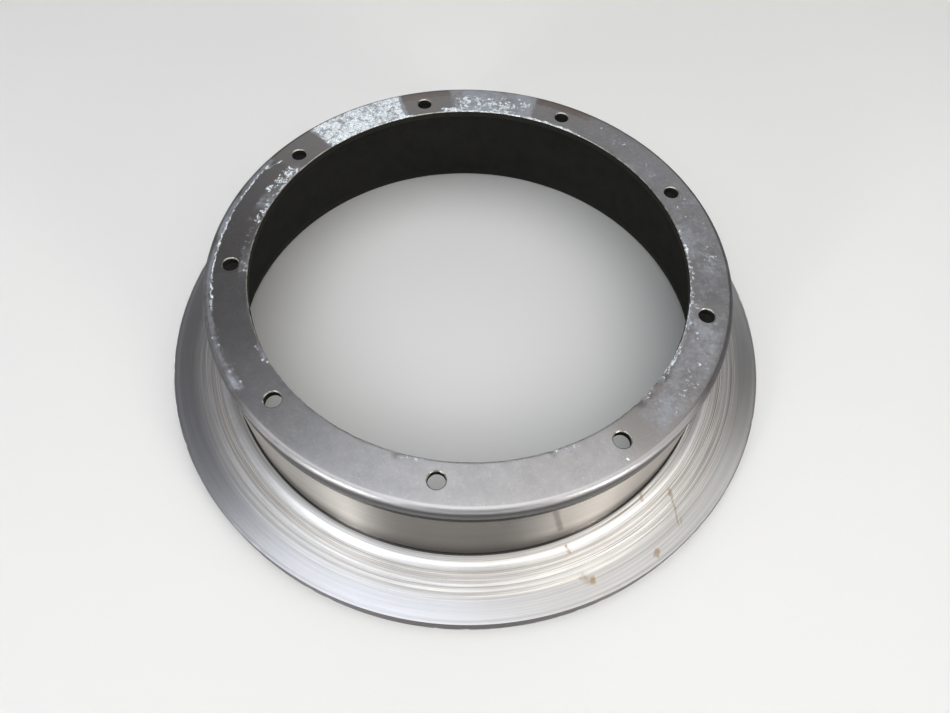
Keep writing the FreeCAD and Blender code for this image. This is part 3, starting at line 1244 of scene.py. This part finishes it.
def floor_material(looks):
    """A plain pale floor; where it is far off, eyes and polished steel see its plain colour."""
    b = Board("plain_floor")
    place = b.node("ShaderNodeTexCoord", None, None, "Object")
    x = b.along(place, "X")
    y = b.along(place, "Y")
    straight = b.node("ShaderNodeLightPath", None, None, "Is Camera Ray")
    mirrored = b.node("ShaderNodeLightPath", None, None, "Is Glossy Ray")
    far = b.step((x * x + y * y) ** 0.5, *FLOOR_FADE) * straight.over(mirrored)
    sockets = {"Base Color": rgba(looks.floor), "Roughness": 0.9, "Specular IOR Level": 0.2}
    near = b.node("ShaderNodeBsdfPrincipled", None, sockets)
    plain = b.node("ShaderNodeEmission", None, {"Color": rgba(looks.floor), "Strength": 1.0})
    return b.finished(b.node("ShaderNodeMixShader", None, {0: far, 1: near, 2: plain}))


def add_floor(context, looks):
    """A large flat floor under the disc."""
    half = FLOOR_HALF
    mesh = bpy.data.meshes.new("floor")
    corners = [(-half, -half, 0.0), (half, -half, 0.0), (half, half, 0.0), (-half, half, 0.0)]
    mesh.from_pydata(corners, [], [(0, 1, 2, 3)])
    floor = bpy.data.objects.new("floor", mesh)
    floor.data.materials.append(floor_material(looks))
    context.scene.collection.objects.link(floor)


def add_panel(context, name, place, aim, size, light, tint=(1.0, 1.0, 1.0), spread=180.0):
    """A soft rectangular lamp at a place, facing a point, level or in line with the camera."""
    lamp = bpy.data.lights.new(name, "AREA")
    lamp.shape = "RECTANGLE"
    lamp.size, lamp.size_y = size
    lamp.energy = light * size[0] * size[1]
    lamp.color = tint
    lamp.spread = math.radians(spread)
    back = (Vector(place) - Vector(aim)).normalized()
    upright = Vector((0.0, 0.0, 1.0)) if abs(back.z) < 0.9 else seen(0.0, 1.0, 0.0)
    across = upright.cross(back).normalized()
    up = back.cross(across)
    made = bpy.data.objects.new(name, lamp)
    made.location = place
    made.rotation_euler = Matrix((across, up, back)).transposed().to_euler()
    context.scene.collection.objects.link(made)


def seen(x, y, z):
    """A point given as the camera faces the disc, in the part's own frame."""
    turn = Matrix.Rotation(-math.radians(SEEN_TURN), 3, "Z")
    return turn @ Vector((x, y, z))


# The lamps' tints, their heights and sizes in metres, and a spread in degrees
COOL = (0.94, 0.97, 1.0)
WARM = (1.0, 0.96, 0.92)
FAINTLY_WARM = (1.0, 0.99, 0.97)
OVERHEAD = 1.10
NEAR_LOW = 0.45
NEAR_LOW_SIZE = (0.26, 0.7)
NEAR_LOW_SPREAD = 60.0


def add_lamps(context, looks):
    """Long panels overhead, a wide dim one beyond the disc and others behind the camera and aside."""
    centre = seen(0, 0, 0.05)
    left = looks.overhead_left
    right = looks.overhead_right
    outer = looks.overhead_outer
    overhead = [
        ("overhead_left", -0.14, -0.27, (0.28, 1.46), left, COOL),
        ("overhead_left_end", -0.39, -0.38, (0.22, 1.24), left, COOL),
        ("overhead_right", 0.165, -0.27, (0.33, 1.46), right, FAINTLY_WARM),
        ("overhead_right_end", 0.475, -0.25, (0.29, 1.50), right, FAINTLY_WARM),
        ("overhead_outer_left", -0.79, -0.55, (0.60, 1.0), outer, COOL),
        ("overhead_outer_right", 0.88, -0.55, (0.60, 1.0), outer, FAINTLY_WARM),
    ]
    for name, x, y, size, light, tint in overhead:
        add_panel(context, name, seen(x, y, OVERHEAD), seen(x, y, 0.0), size, light, tint)
    add_panel(context, "far_wall", seen(0.27, 1.51, 1.29), centre, (2.4, 0.63), looks.far_wall)
    add_panel(context, "near_wall", seen(0.0, -1.5, 1.6), centre, (1.8, 0.7), looks.near_wall)
    near = [
        ("near_left", seen(-1.18, -1.61, NEAR_LOW), (1.0, 1.0, 1.0)),
        ("near_right", seen(1.46, -1.36, NEAR_LOW), WARM),
    ]
    for name, place, tint in near:
        add_panel(context, name, place, centre, NEAR_LOW_SIZE, looks.near_doors, tint, NEAR_LOW_SPREAD)
    for side in (-1, 1):
        place = seen(1.3 * side, -0.15, 0.75)
        add_panel(context, "side_panel", place, centre, (0.7, 0.7), looks.side_panels, WARM)


def add_sky(context, looks):
    """Even light all round: pale near the horizon, as studio walls are, and dimmer above."""
    b = Board(None, bpy.data.worlds.new("surroundings"))
    direction = b.node("ShaderNodeTexCoord", None, None, "Generated")
    height = b.along(direction, "Z")
    shade = b.ramp(height, [(0.10, tuple(looks.sky_low)), (0.34, tuple(looks.sky_high))])
    light = b.node("ShaderNodeBackground", None, {"Color": shade})
    backdrop = b.node("ShaderNodeBackground", None, {"Color": rgba(looks.floor)})
    straight = b.node("ShaderNodeLightPath", None, None, "Is Camera Ray")
    both = b.node("ShaderNodeMixShader", None, {0: straight, 1: light, 2: backdrop})
    context.scene.world = b.finished(both, "ShaderNodeOutputWorld")


def add_camera(context, looks):
    """The camera at the photograph's angle, with the photograph's field of view."""
    data = bpy.data.cameras.new("camera")
    data.sensor_width = 36.0
    data.lens = looks.lens
    data.clip_start = 0.01
    camera = bpy.data.objects.new("camera", data)
    heading = Matrix.Rotation(-looks.camera_turn, 3, "Z")
    tilt = Matrix.Rotation(math.pi / 2 - looks.camera_drop, 3, "X")
    roll = Matrix.Rotation(looks.camera_roll, 3, "Z")
    camera.rotation_euler = (heading @ tilt @ roll).to_euler()
    camera.location = looks.camera_place
    context.scene.collection.objects.link(camera)
    context.scene.camera = camera


class DISC_OT_stage(bpy.types.Operator):
    """Add the plain floor, the soft lamps and the camera"""

    bl_idname = "brake_disc.stage"
    bl_label = "Stage"

    def execute(self, context):
        looks = context.scene.stage_looks
        add_floor(context, looks)
        add_sky(context, looks)
        add_lamps(context, looks)
        add_camera(context, looks)
        context.scene.view_settings.view_transform = "Standard"
        return {"FINISHED"}


class DISC_PT_panel(bpy.types.Panel):
    """The disc's pieces and settings in the sidebar"""

    bl_label = "Brake disc"
    bl_idname = "DISC_PT_panel"
    bl_space_type = "VIEW_3D"
    bl_region_type = "UI"
    bl_category = "Brake disc"

    def draw(self, context):
        column = self.layout.column()
        column.operator(DISC_OT_build.bl_idname)
        column.operator(DISC_OT_stage.bl_idname)
        for group in (context.scene.disc_sizes, context.scene.disc_finish, context.scene.stage_looks):
            for name in group.__annotations__:
                column.prop(group, name)


CLASSES = (DiscSizes, DiscFinish, StageLooks, DISC_OT_build, DISC_OT_stage, DISC_PT_panel)


def register():
    """Adds the classes and hangs the settings on the scene."""
    for made in CLASSES:
        bpy.utils.register_class(made)
    bpy.types.Scene.disc_sizes = bpy.props.PointerProperty(type=DiscSizes)
    bpy.types.Scene.disc_finish = bpy.props.PointerProperty(type=DiscFinish)
    bpy.types.Scene.stage_looks = bpy.props.PointerProperty(type=StageLooks)


def unregister():
    """Takes the settings and the classes away again."""
    del bpy.types.Scene.stage_looks
    del bpy.types.Scene.disc_finish
    del bpy.types.Scene.disc_sizes
    for made in reversed(CLASSES):
        bpy.utils.unregister_class(made)


def main():
    register()
    bpy.ops.brake_disc.build()
    bpy.ops.brake_disc.stage()


if __name__ == "__main__":
    main()
